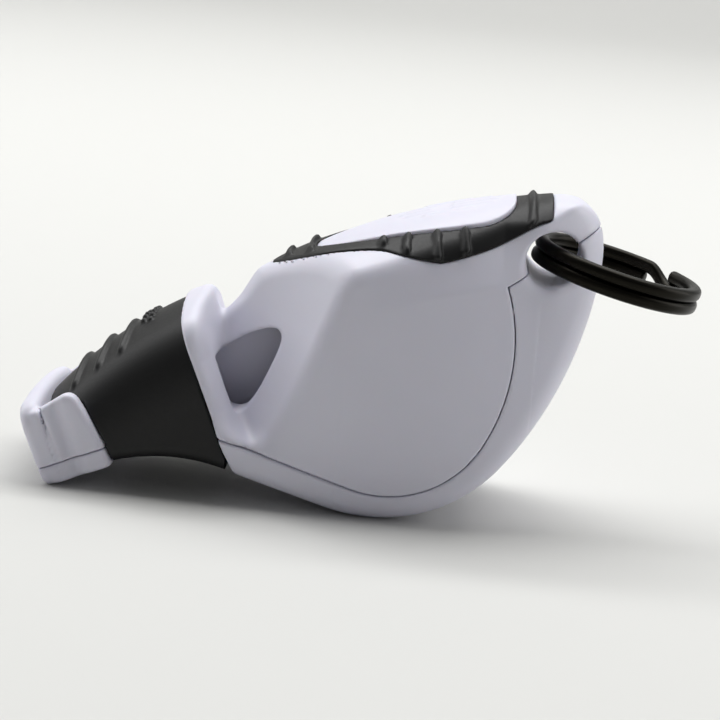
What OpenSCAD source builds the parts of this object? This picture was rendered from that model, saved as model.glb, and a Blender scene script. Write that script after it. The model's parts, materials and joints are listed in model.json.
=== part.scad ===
// Pealess training whistle: two welded housing shells, two soft over-moulded grips and a split ring.
// It stands on its belly and the lower edge of its mouthpiece. X runs from mouth to tail, Z is up.

/* [Housing] */
// Half the width of the body at its widest
body_half = 10.6; // [9.8:0.1:11.4]
// Thickness of the housing walls
wall = 1.6; // [1.2:0.1:1.8]
// Thickness of the wall between the two sound chambers
divider = 1.2; // [0.8:0.1:1.6]

/* [Mouthpiece] */
// Half the width of the mouthpiece
mouth_half = 9.5; // [9:0.1:9.8]
// Height of the breath slot
slot_height = 2.8; // [2.2:0.1:3]
// Width of the breath slot
slot_width = 13; // [11:0.5:14]

/* [Grips] */
// Thickness of the soft skin on the mouthpiece
sleeve_skin = 1.2; // [1:0.1:1.4]
// Thickness of the soft skin on the crown
crown_skin = 1; // [0.8:0.1:1.1]
// How far the grip ribs stand proud
rib_rise = 0.5; // [0.3:0.05:0.6]
// Width of a grip rib
rib_width = 0.8; // [0.6:0.1:1]

/* [Split ring] */
// Radius of the lanyard hole
hole_r = 2.6; // [2.6:0.05:2.7]
// Mean radius of the split ring
ring_r = 7.6; // [7.5:0.05:7.7]
// Diameter of the ring's wire
wire_d = 1.3; // [1.2:0.05:1.3]
// Angle of the ring below level, in degrees
ring_drop = 12.8; // [8:0.2:16]

/* [Hidden] */
$fn = 72;
arc_step = 6;          // degrees between the points of an outline's arcs
eps = 0.01;
far = 60;              // reach of the blocks that cut or keep a region
white = "#c9c9da";
soft_black = "#26272a";
steel_black = "#1c1b1b";

breath_tilt = 24;      // the mouthpiece points this far below level
breath_at = [-20, 9.75]; // where the breath axis meets the collar

// Heights are from the table. Distances along x are from the belly's middle until origin_x is added.
hole = [12.2, 25.55];
ring_centre = 6.4;     // from the hole's axis to the ring's own centre
ring_gap = wire_d * 0.48; // half the distance between the ring's two turns
boss_wall = 1.5;       // plastic left round the lanyard hole
ring_reach = (ring_centre + ring_r) * cos(ring_drop) + ring_gap * sin(ring_drop) + wire_d / 2;

// ---- outlines: runs of tangent arcs and straight lines, each row is [x, z, heading] ----

// One step along the path: a straight line of length s[0] if s[1] is 0,
// else an arc of radius s[0] through s[1] degrees.
function stretch(q, s) =
    s[1] == 0
        ? [[q[0] + s[0] * cos(q[2]), q[1] + s[0] * sin(q[2]), q[2]]]
        : let (n = ceil(abs(s[1]) / arc_step), side = sign(s[1]) * s[0])
          [for (i = [1 : n]) let (h = q[2] + s[1] * i / n)
              [q[0] + side * (sin(h) - sin(q[2])), q[1] - side * (cos(h) - cos(q[2])), h]];

function trace(rows, steps, i = 0) =
    i == len(steps) ? rows : trace(concat(rows, stretch(rows[len(rows) - 1], steps[i])), steps, i + 1);

// The path moved to its left by inset.
function moved(rows, inset) = [for (q = rows) [q[0] - inset * sin(q[2]), q[1] + inset * cos(q[2])]];

// Foot, belly, back, tail and crest. The front is cut off by the nose and the collar, lines with a heading.
// The belly's arc is in two, so that one of its chords is level and the whistle stands firm.
body_rows = trace([[-21, 4.013, -14]],
    [[14.74, 0], [15.7, 16.8], [15.7, 48.2], [36, 35], [4.75, 104], [87, 17.9], [8, 0]]);
nose_line = [-14.1, 22.1, 230];
collar_line = [-20.6, 17, 290];

// Half of the outline seen square to the crest, which narrows from the scoops to the tail.
crest_tilt = 17;
tail_reach = 24.6;
tail_cut = 0.3;        // the outline stops this far short of the point where it closes
tail_flow = 2.3;       // higher keeps the flanks parallel for longer
tail_round = 0.8;      // higher makes the tail's end sharper
function plan_half(u) = body_half * pow(1 - pow(max(0, u) / tail_reach, tail_flow), tail_round);
plan_steps = 14;
plan_rows = [for (i = [0 : plan_steps]) let (u = (tail_reach - tail_cut) * sin(90 * i / plan_steps))
    [u, plan_half(u)]];

module side_slab(points) {
    rotate([90, 0, 0]) linear_extrude(2 * far, center = true) polygon(points);
}

// All that lies to the right of a line in the side view.
module right_of(line, inset) {
    translate([line[0], 0, line[1]]) rotate([0, -line[2], 0])
        translate([-far, -far, inset - 2 * far]) cube(2 * far);
}

module side_form(inset) {
    difference() {
        side_slab(moved(body_rows, inset));
        right_of(nose_line, inset);
        right_of(collar_line, inset);
    }
}

// ---- forms: the outer shapes, each of which can be drawn smaller by inset ----

crest_at = [1.4, 28.5];
crown_r = 10.6;        // radius across the crown at crest_at
crown_cone = 27.4;     // half-angle of the cone, which is what narrows the crown towards the tail

// Moves a shape with its apex at the origin and its axis along z to where the crown's cone lies.
module crown_place(inset) {
    translate([crest_at[0], 0, crest_at[1]]) rotate([0, -crest_tilt, 0])
        translate([crown_r / sin(crown_cone), 0, 0]) rotate([0, -90 - crown_cone, 0])
            translate([0, 0, inset / sin(crown_cone)]) children();
}

// The crown's cone, over a wedge that takes in all that lies below its axis.
module crown(inset) {
    wide = 2 * far * tan(crown_cone);
    crown_place(inset) union() {
        cylinder(h = 2 * far, r1 = 0, r2 = wide);
        rotate([0, -90, 0]) linear_extrude(far) polygon([[0, 0], [2 * far, wide], [2 * far, -wide]]);
    }
}

module body_plan(inset) {
    half = concat([[-far, body_half]], plan_rows);
    near = [for (q = half) [q[0] - inset, max(q[1] - inset, 0.05)]];
    away = [for (i = [len(near) - 1 : -1 : 0]) [near[i][0], -near[i][1]]];
    rotate([0, -crest_tilt, 0]) linear_extrude(2 * far, center = true) polygon(concat(near, away));
}

module body_form(inset = 0) {
    intersection() {
        side_form(inset);
        body_plan(inset);
        crown(inset);
    }
}

module breath_frame() {
    translate([breath_at[0], 0, breath_at[1]]) rotate([0, -breath_tilt, 0]) mirror([1, 0, 0]) children();
}

// The place in the body's frame of a point given in the breath frame.
function from_breath(q) = [
    breath_at[0] - q[0] * cos(breath_tilt) - q[1] * sin(breath_tilt),
    breath_at[1] - q[0] * sin(breath_tilt) + q[1] * cos(breath_tilt)];

// In the breath frame x runs to the lips, z is across the mouthpiece and y is its width.
rim_front = 16.2;
rim_back = 14;
rim_bevel = 0.7;
rim_foot = 1;          // slope of the rim's lower corners
rim_brow = 1.4;        // slope of the rim's upper corners
rim_high = 4.5;
// The rim's lower edge is as low as it needs to be to stand on the table.
rim_low = ((rim_front - rim_bevel) * sin(breath_tilt) - breath_at[1]) / cos(breath_tilt);
rim_side = [[rim_back, rim_low], [rim_front - rim_bevel, rim_low], [rim_front, rim_low + rim_foot],
    [rim_front, rim_high - rim_brow], [rim_front - rim_bevel, rim_high], [rim_back, rim_high]];
housing_front = min([for (q = rim_side) from_breath(q)[0]]);
origin_x = -(housing_front + hole[0] + ring_reach) / 2;
tab_back = 9.5;        // the white side tabs run from here to the rim
tab_thick = 1.3;
tab_tall = 7.4;
tab_mid = 0.2;
collar_front = -1.2;
collar_back = -2.7;
collar_top = 8.2;
parting = -1.9;        // height of the shells' parting plane in the mouthpiece
mouth_floor = 3.6;     // the mouthpiece's underside is this far below the breath axis at the lips
mouth_top = 3.9;
mouth_root = -6;       // the mouthpiece starts this far inside the body
function mouth_outline(inset) = [
    [mouth_root, -8.9 + inset], [collar_front, -8.5 + inset], [1, -6.7 + inset], [3.5, -5.2 + inset],
    [6.5, -4.1 + inset], [9.5, -mouth_floor + inset], [rim_back, -mouth_floor + inset],
    [rim_back, mouth_top - inset], [collar_front, collar_top - inset], [mouth_root, 9.6 - inset]];

module breath_slab(points, half) {
    rotate([90, 0, 0]) linear_extrude(2 * half, center = true) polygon(points);
}

mouth_fall = atan2(collar_top - mouth_top, rim_back - collar_front); // slope of the mouthpiece's top
mouth_r = 17;          // radius across the mouthpiece's top
module mouth_form(inset = 0) {
    intersection() {
        breath_slab(mouth_outline(inset), mouth_half - inset);
        translate([collar_front, 0, collar_top]) rotate([0, mouth_fall, 0]) translate([0, 0, -mouth_r])
            union() {
                rotate([0, 90, 0]) cylinder(h = far, r = mouth_r - inset, center = true);
                translate([-far / 2, -mouth_r, -far]) cube([far, 2 * mouth_r, far]);
            }
    }
}

// A front view, as [y, z] points, drawn out along the breath axis.
module breath_run(front, back, points) {
    translate([back, 0, 0]) rotate([90, 0, 90]) linear_extrude(front - back) polygon(points);
}

module rim() {
    w = mouth_half;
    half = [[0, rim_low], [w - rim_foot, rim_low], [w, rim_low + rim_foot],
        [w, rim_high - rim_brow], [w - rim_brow, rim_high], [0, rim_high]];
    intersection() {
        breath_slab(rim_side, w);
        for (side = [0, 1]) mirror([0, side, 0]) breath_run(rim_front, rim_back, half);
    }
}

module tabs() {
    for (side = [-1, 1])
        translate([(tab_back + rim_back) / 2, side * (mouth_half - tab_thick / 2), tab_mid])
            cube([rim_back - tab_back + eps, tab_thick, tab_tall], center = true);
}

// Half of the collar's front view, as [y, z] points.
collar_half = [[0, -5.6], [10, -5.6], [10, 5.6], [7.8, 7.3], [4, collar_top], [0, collar_top]];
module collar() {
    for (side = [0, 1]) mirror([0, side, 0]) breath_run(collar_front, collar_back, collar_half);
}

// ---- the parting between the two shells ----

seam_rows = trace([[-17, 6.35, -15.3]], [[12.9, 0], [10.4, 77], [17.8, 50]]);
seam_exit = [19, 30.1];
past_lips = 20;        // a place on the breath axis that is clear of the lips
module cover_region() {
    side_slab(concat(
        [for (q = seam_rows) [q[0], q[1]]],
        [seam_exit, [far, 30], [far, -far], [-far, -far], from_breath([past_lips, -10])],
        [from_breath([past_lips, parting]), from_breath([collar_front, parting])]));
}

// ---- hollows ----

// Each scoop is a flat cut that starts at this corner of the body and looks forward, outward and a little up.
scoop_corner = [-6.7, 10.5, 22.1];
scoop_turn = 44.2;
scoop_rise = 14.2;
// The scoops end on this line above the belly.
scoop_floor = [[-17, 7.2], [-12, 6.2]];
module scoops(inset = 0) {
    difference() {
        for (side = [0, 1]) mirror([0, side, 0])
            translate(scoop_corner) rotate([0, -scoop_rise, 180 - scoop_turn])
                translate([-inset, -far / 2, -far / 2]) cube([far, far, far]);
        side_slab(concat([[far, -far], [-far, -far], [-far, scoop_floor[0][1] + inset]],
            [for (q = scoop_floor) [q[0], q[1] + inset]],
            [[far, scoop_floor[1][1] + inset]]));
    }
}

module chambers() {
    difference() {
        body_form(wall);
        scoops(wall);
        translate([-far, -divider / 2, -far]) cube([2 * far, divider, 2 * far]);
        across_hole(hole_r + boss_wall);
        translate([hole[0], -far / 2, hole[1] - hole_r - boss_wall]) cube([far, far, far]);
    }
}

// The breath slot lies on the parting plane. It narrows to the throat, where the divider shares it out.
throat_half = 2.7;
throat_end = 0;        // where along the breath axis the throat begins to widen
slot_start = 9;        // where it has its full width
module windway() {
    breath_frame() translate([0, 0, parting]) linear_extrude(slot_height) difference() {
        polygon(both_sides([[-5, throat_half], [throat_end, throat_half],
            [slot_start, slot_width / 2], [far, slot_width / 2]]));
        translate([-far, -divider / 2]) square([far + 3, divider]);
    }
}

outlet = [[-17.9, 14.2], [-13.2, 16.9], [-12.3, 16.2], [-14.9, 9.6], [-16.2, 9.4]];
module outlets() {
    for (side = [0, 1]) mirror([0, side, 0])
        translate([0, -divider / 2, 0]) rotate([90, 0, 0]) linear_extrude(far) polygon(outlet);
}

// A cylinder about the lanyard hole's axis.
module across_hole(r) {
    translate([hole[0], 0, hole[1]]) rotate([90, 0, 0]) cylinder(h = far, r = r, center = true);
}

// ---- grips ----

band_outer = [[-14.2, 0], [-12, 2.4], [-8, 5.2], [-3.5, 7.2], [1, 8.6], [5, 7.6], [9, 5.6], [11.7, 4.6]];
band_inner = [[-10.2, 0], [-7, 3.1], [-3, 4.6], [1, 5.1], [4.5, 4.9], [7, 3.6], [8.3, 1.8], [8.6, 0]];
function both_sides(points) =
    concat(points, [for (i = [len(points) - 1 : -1 : 0]) [points[i][0], -points[i][1]]]);

band_depth = 4.2;      // how far the crown's skin reaches down the sides
module band_region() {
    intersection() {
        translate([0, 0, 18]) linear_extrude(20) difference() {
            polygon(both_sides(band_outer));
            polygon(both_sides(band_inner));
        }
        translate([crest_at[0], 0, crest_at[1]]) rotate([0, -crest_tilt, 0])
            translate([-far, -far, -band_depth]) cube(2 * far);
    }
}

module band_skin() {
    intersection() {
        difference() {
            body_form(0);
            body_form(crown_skin);
        }
        band_region();
    }
}

rib_places = [-12.6, -10.6, -3.7, -1.4, 0.9, 3.2, 9.9];
rib_half = 7.4;        // half the length of a crown rib
module band_ribs() {
    intersection() {
        difference() {
            body_form(-rib_rise);
            body_form(crown_skin / 2);
        }
        band_region();
        for (x = rib_places)
            translate([x - rib_width / 2, -rib_half, 0]) cube([rib_width, 2 * rib_half, far]);
    }
}

// The sleeve goes all round as far as the tabs, and on between them above this height.
sleeve_step = 1;
module sleeve_region() {
    half = mouth_half - tab_thick;
    union() {
        translate([collar_front, -far / 2, -far / 2]) cube([tab_back - collar_front, far, far]);
        translate([collar_front, -half, sleeve_step]) cube([rim_back - collar_front, 2 * half, far]);
    }
}

mouth_rib_places = [3.2, 6, 8.8];
mouth_rib_half = 6.2;
module mouth_ribs() {
    intersection() {
        difference() {
            mouth_form(-rib_rise);
            mouth_form(sleeve_skin / 2);
        }
        for (x = mouth_rib_places) translate([x, 0, 0]) rotate([0, mouth_fall, 0])
            translate([-rib_width / 2, -mouth_rib_half, 0]) cube([rib_width, 2 * mouth_rib_half, far]);
    }
}

// ---- the pieces ----

// Both shells as one, with its hollows, before the parting.
module housing() {
    difference() {
        union() {
            difference() {
                difference() {
                    body_form();
                    scoops();
                }
                chambers();
                band_region_recess();
            }
            breath_frame() {
                intersection() {
                    mouth_form(sleeve_skin);
                    translate([collar_back, -far / 2, -far / 2]) cube([far, far, far]);
                }
                difference() {
                    intersection() {
                        mouth_form(0);
                        translate([tab_back, -far / 2, -far / 2]) cube([far, far, far]);
                    }
                    sleeve_region();
                }
                rim();
                tabs();
                collar();
            }
        }
        windway();
        outlets();
        across_hole(hole_r);
    }
}

module band_region_recess() {
    intersection() {
        difference() {
            body_form(-1);
            body_form(crown_skin);
        }
        band_region();
    }
}

module upper_housing() {
    color(white) difference() {
        housing();
        cover_region();
    }
}

module lower_cover() {
    color(white) intersection() {
        housing();
        cover_region();
    }
}

module mouth_grip() {
    color(soft_black) breath_frame() {
        difference() {
            union() {
                difference() {
                    mouth_form(0);
                    mouth_form(sleeve_skin);
                }
                mouth_ribs();
            }
            difference() {
                translate([-far, -far, -far]) cube(2 * far);
                sleeve_region();
            }
        }
    }
}

module finger_grip() {
    color(soft_black) union() {
        band_skin();
        band_ribs();
    }
}

module split_ring() {
    color(steel_black) translate([hole[0], 0, hole[1]]) rotate([0, ring_drop, 0])
        translate([ring_centre, 0, 0]) rotate_extrude() translate([ring_r, 0]) union() {
            for (side = [-1, 1]) translate([0, side * ring_gap]) circle(d = wire_d, $fn = 32);
        }
}

translate([origin_x, 0, 0]) {
    upper_housing();
    lower_cover();
    mouth_grip();
    finger_grip();
    split_ring();
}
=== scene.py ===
"""A pealess training whistle: two white moulded shells, two soft black grips and a split ring.

The forms are fields: functions that are negative inside the plastic, measured in millimetres in the
whistle's own frame, where x runs from the belly's middle to the tail, y across and z up from the table.
Each field is turned into a mesh that keeps its edges, moved to the CAD model's place and given a finish.
"""

import json
import logging
import math
from collections.abc import Callable, Sequence
from dataclasses import dataclass, field
from enum import Enum

import bpy
import numpy as np
from mathutils import Matrix, Vector


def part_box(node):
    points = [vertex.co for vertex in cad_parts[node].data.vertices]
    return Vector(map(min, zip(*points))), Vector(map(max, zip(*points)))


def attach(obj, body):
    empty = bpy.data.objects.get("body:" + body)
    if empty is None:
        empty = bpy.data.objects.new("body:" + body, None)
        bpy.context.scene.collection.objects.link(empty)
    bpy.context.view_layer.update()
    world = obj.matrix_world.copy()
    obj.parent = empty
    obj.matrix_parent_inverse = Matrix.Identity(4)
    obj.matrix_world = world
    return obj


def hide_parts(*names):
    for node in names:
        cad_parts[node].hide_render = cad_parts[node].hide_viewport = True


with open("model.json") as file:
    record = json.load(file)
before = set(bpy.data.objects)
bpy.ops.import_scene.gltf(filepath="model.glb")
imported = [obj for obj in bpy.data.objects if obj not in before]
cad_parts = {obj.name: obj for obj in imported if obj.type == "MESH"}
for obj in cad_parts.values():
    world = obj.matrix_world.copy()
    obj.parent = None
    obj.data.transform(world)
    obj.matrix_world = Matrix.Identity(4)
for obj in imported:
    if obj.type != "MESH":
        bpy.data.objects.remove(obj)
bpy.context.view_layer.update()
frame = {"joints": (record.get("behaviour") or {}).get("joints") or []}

LOG = logging.getLogger("whistle")
MM = 0.001
# How strongly a mesh's point is held near the middle of its crossings, against the planes that place it.
MIDDLE_PULL = 0.04
# How far from a point the field is sampled for its shading, in millimetres.
SHADE_REACH = 0.06

Array = np.ndarray
Field = Callable[[Array, Array, Array], Array]


# ---- how fields join ----


def meet(a: Array, b: Array, soft: float | Array) -> Array:
    """What two fields have in common, with the edge between them rounded.

    Args:
        a: one field.
        b: the other.
        soft: about how far the rounding reaches.

    Returns:
        The field of what is inside both.
    """
    gap = np.maximum(soft - np.abs(a - b), 0.0)
    return np.maximum(a, b) + gap * gap / (4.0 * soft)


def join(a: Array, b: Array, soft: float | Array) -> Array:
    """Two fields as one, with a fillet where they cross.

    Args:
        a: one field.
        b: the other.
        soft: about how far the fillet reaches.

    Returns:
        The field of what is inside either.
    """
    return -meet(-a, -b, soft)


def turned(degrees: float) -> tuple[float, float]:
    """An angle's two parts.

    Args:
        degrees: the angle.

    Returns:
        Its cosine and its sine.
    """
    return math.cos(math.radians(degrees)), math.sin(math.radians(degrees))


class Outline:
    """A run of straight lines and arcs, each tangent to the last, in the side view."""

    def __init__(self, start: tuple[float, float, float], steps: Sequence[tuple[float, float]]) -> None:
        """Lays out the run.

        Args:
            start: x, z and heading in degrees of the first point.
            steps: a straight line as (length, 0), or an arc as (radius, degrees turned to the left).
        """
        x, z, heading = start
        self.lines: list[tuple[float, float, float, float, float]] = []
        self.arcs: list[tuple[float, float, float, float, float, float]] = []
        for size, turn in steps:
            c, s = turned(heading)
            if turn == 0:
                self.lines.append((x, z, c, s, size))
                x, z = x + size * c, z + size * s
                continue
            way = math.copysign(1.0, turn)
            middle = (x - way * size * s, z + way * size * c)
            self.arcs.append((*middle, size, way, math.radians(heading), math.radians(abs(turn))))
            heading += turn
            c, s = turned(heading)
            x, z = middle[0] + way * size * s, middle[1] - way * size * c

    def left(self, x: Array, z: Array) -> Array:
        """Distance from the run.

        Args:
            x: places from the belly to the tail.
            z: their heights.

        Returns:
            The distance, positive to the left of the run's direction.
        """
        near = np.full(np.broadcast(x, z).shape, np.inf)
        side = np.zeros_like(near)
        for px, pz, c, s, length in self.lines:
            along = np.clip((x - px) * c + (z - pz) * s, 0.0, length)
            gap = np.hypot(x - px - along * c, z - pz - along * s)
            across = (z - pz) * c - (x - px) * s
            nearer = gap < near
            near = np.where(nearer, gap, near)
            side = np.where(nearer, across, side)
        for cx, cz, radius, way, heading, turn in self.arcs:
            ax, az = way * math.sin(heading), -way * math.cos(heading)
            dx, dz = x - cx, z - cz
            angle = np.arctan2(way * (ax * dz - az * dx), ax * dx + az * dz)
            held = np.clip(np.where(angle < 0.5 * turn - math.pi, angle + 2 * math.pi, angle), 0.0, turn)
            c, s = np.cos(way * held), np.sin(way * held)
            gap = np.hypot(dx - radius * (ax * c - az * s), dz - radius * (ax * s + az * c))
            nearer = gap < near
            near = np.where(nearer, gap, near)
            side = np.where(nearer, way * (radius - np.hypot(dx, dz)), side)
        return np.copysign(near, side)


class Loop:
    """A smooth closed outline through a few points."""

    def __init__(self, points: Sequence[tuple[float, float]], per_span: int = 5) -> None:
        """Samples a curve that passes through every point.

        Args:
            points: the points in order, the last one joined to the first.
            per_span: straight stretches between two points.
        """
        knots = np.array(points, float)
        share = np.linspace(0.0, 1.0, per_span, endpoint=False)[:, None]
        spans = []
        for i in range(len(knots)):
            a, b, c, d = (knots[(i + k) % len(knots)] for k in (-1, 0, 1, 2))
            spans.append(0.5 * (2 * b + (c - a) * share + (2 * a - 5 * b + 4 * c - d) * share**2
                                + (3 * b - a - 3 * c + d) * share**3))
        self.points = np.concatenate(spans)

    def outside(self, p: Array, q: Array) -> Array:
        """Distance from the outline.

        Args:
            p: places along the outline's first axis.
            q: places along its second.

        Returns:
            The distance, negative inside the outline.
        """
        nearest = np.full(np.broadcast(p, q).shape, np.inf)
        within = np.zeros(nearest.shape, bool)
        for (ap, aq), (bp, bq) in zip(self.points, np.roll(self.points, -1, axis=0)):
            ep, eq = bp - ap, bq - aq
            share = np.clip(((p - ap) * ep + (q - aq) * eq) / (ep * ep + eq * eq), 0.0, 1.0)
            nearest = np.minimum(nearest, (p - ap - share * ep) ** 2 + (q - aq - share * eq) ** 2)
            crosses = ((aq > q) != (bq > q)) & (p < ap + (q - aq) * ep / (eq if eq else 1e-9))
            within ^= crosses
        return np.where(within, -1.0, 1.0) * np.sqrt(nearest)


# ---- from a field to a mesh ----


def slope(solid: Field, at: Array, reach: float) -> Array:
    """The field's unit slope at each point, from four samples at the corners of a small tetrahedron.

    Args:
        solid: the field.
        at: points, one row each.
        reach: distance of the samples along each axis.

    Returns:
        One unit vector per point, which points out of the plastic.
    """
    total = np.zeros_like(at)
    for corner in ((1, -1, -1), (-1, -1, 1), (-1, 1, -1), (1, 1, 1)):
        way = np.array(corner, float)
        total += way * solid(*(at + reach * way).T)[:, None]
    return total / np.maximum(np.linalg.norm(total, axis=1, keepdims=True), 1e-12)


def crossings(solid: Field, values: Array, low: Array, step: float,
              axis: int) -> tuple[Array, Array, Array]:
    """Where the surface crosses the grid's edges that run along one axis.

    Args:
        solid: the field.
        values: the field at the grid's points.
        low: the grid's lowest corner.
        step: the grid's spacing.
        axis: the edges' axis.

    Returns:
        The points, the four cells round each edge in an order that faces outward, and the slopes.
    """
    first = tuple(slice(None, -1) if a == axis else slice(None) for a in range(3))
    last = tuple(slice(1, None) if a == axis else slice(None) for a in range(3))
    cut = (values[first] < 0) != (values[last] < 0)
    index = np.argwhere(cut)
    begin, finish = values[first][cut], values[last][cut]
    unit = np.eye(3)[axis]
    share = begin / (begin - finish)
    between = solid(*(low + step * (index + share[:, None] * unit)).T)
    same = (between < 0) == (begin < 0)
    lower, upper = np.where(same, share, 0.0), np.where(same, 1.0, share)
    begin, finish = np.where(same, between, begin), np.where(same, finish, between)
    share = lower + (upper - lower) * begin / (begin - finish)
    points = low + step * (index + share[:, None] * unit)
    ring = np.zeros((4, 3), int)
    ring[:, (axis + 1) % 3] = (-1, 0, 0, -1)
    ring[:, (axis + 2) % 3] = (-1, -1, 0, 0)
    cells = index[:, None, :] + ring
    cells = np.where((values[first][cut] < 0)[:, None, None], cells, cells[:, ::-1])
    return points, cells, slope(solid, points, 0.1 * step)


def contour(solid: Field, low: Sequence[float], high: Sequence[float], step: float) -> tuple[Array, Array]:
    """A mesh of a field that is the same on both sides of y = 0, with its edges kept.

    One point stands in each cell that the surface crosses, where the planes of the crossings meet best.

    Args:
        solid: the field, negative inside.
        low: lowest x and z, and half the width as the y.
        high: highest x and z; its y isn't read.
        step: size of a cell.

    Returns:
        The points in millimetres, and four point numbers for each face.
    """
    half = math.ceil(low[1] / step)
    xs = np.arange(low[0], high[0] + step, step)
    ys = step * np.arange(0, half + 1)
    zs = np.arange(low[2], high[2] + step, step)
    near = np.broadcast_to(solid(xs[:, None, None], ys[None, :, None], zs[None, None, :]),
                           (len(xs), len(ys), len(zs)))
    values = np.concatenate([near[:, :0:-1], near], axis=1)
    corner = np.array([low[0], -step * half, low[2]])
    found = [crossings(solid, values, corner, step, axis) for axis in range(3)]
    points, cells, slopes = (np.concatenate(part) for part in zip(*found))
    shape = np.array(values.shape)
    numbers = (cells[..., 0] * shape[1] + cells[..., 1]) * shape[2] + cells[..., 2]
    used, owner = np.unique(numbers.reshape(-1), return_inverse=True)
    owner = owner.reshape(-1)

    def gathered(weights: Array) -> Array:
        """The weights' sum over the crossings of each cell."""
        return np.bincount(owner, weights=np.repeat(weights, 4), minlength=len(used))

    count = np.bincount(owner, minlength=len(used))
    middle = np.stack([gathered(points[:, a]) for a in range(3)], axis=1) / count[:, None]
    planes = np.empty((len(used), 3, 3))
    for a in range(3):
        for b in range(a, 3):
            planes[:, a, b] = planes[:, b, a] = gathered(slopes[:, a] * slopes[:, b])
    reach = np.einsum("ij,ij->i", slopes, points)
    pull = np.stack([gathered(slopes[:, a] * reach) for a in range(3)], axis=1)
    pull -= np.einsum("iab,ib->ia", planes, middle)
    planes += MIDDLE_PULL * count[:, None, None] * np.eye(3)
    place = middle + np.linalg.solve(planes, pull[:, :, None])[:, :, 0]
    cell = np.stack(np.unravel_index(used, tuple(shape)), axis=1)
    floor = corner + step * cell
    return np.clip(place, floor, floor + step), owner.reshape(-1, 4)


class Grade(Enum):
    """How fine the meshes are: the size of a cell in millimetres for shells and for trim."""

    QUICK = (0.5, 0.4)
    FULL = (0.24, 0.2)


# ---- the forms that the pieces share ----


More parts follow.
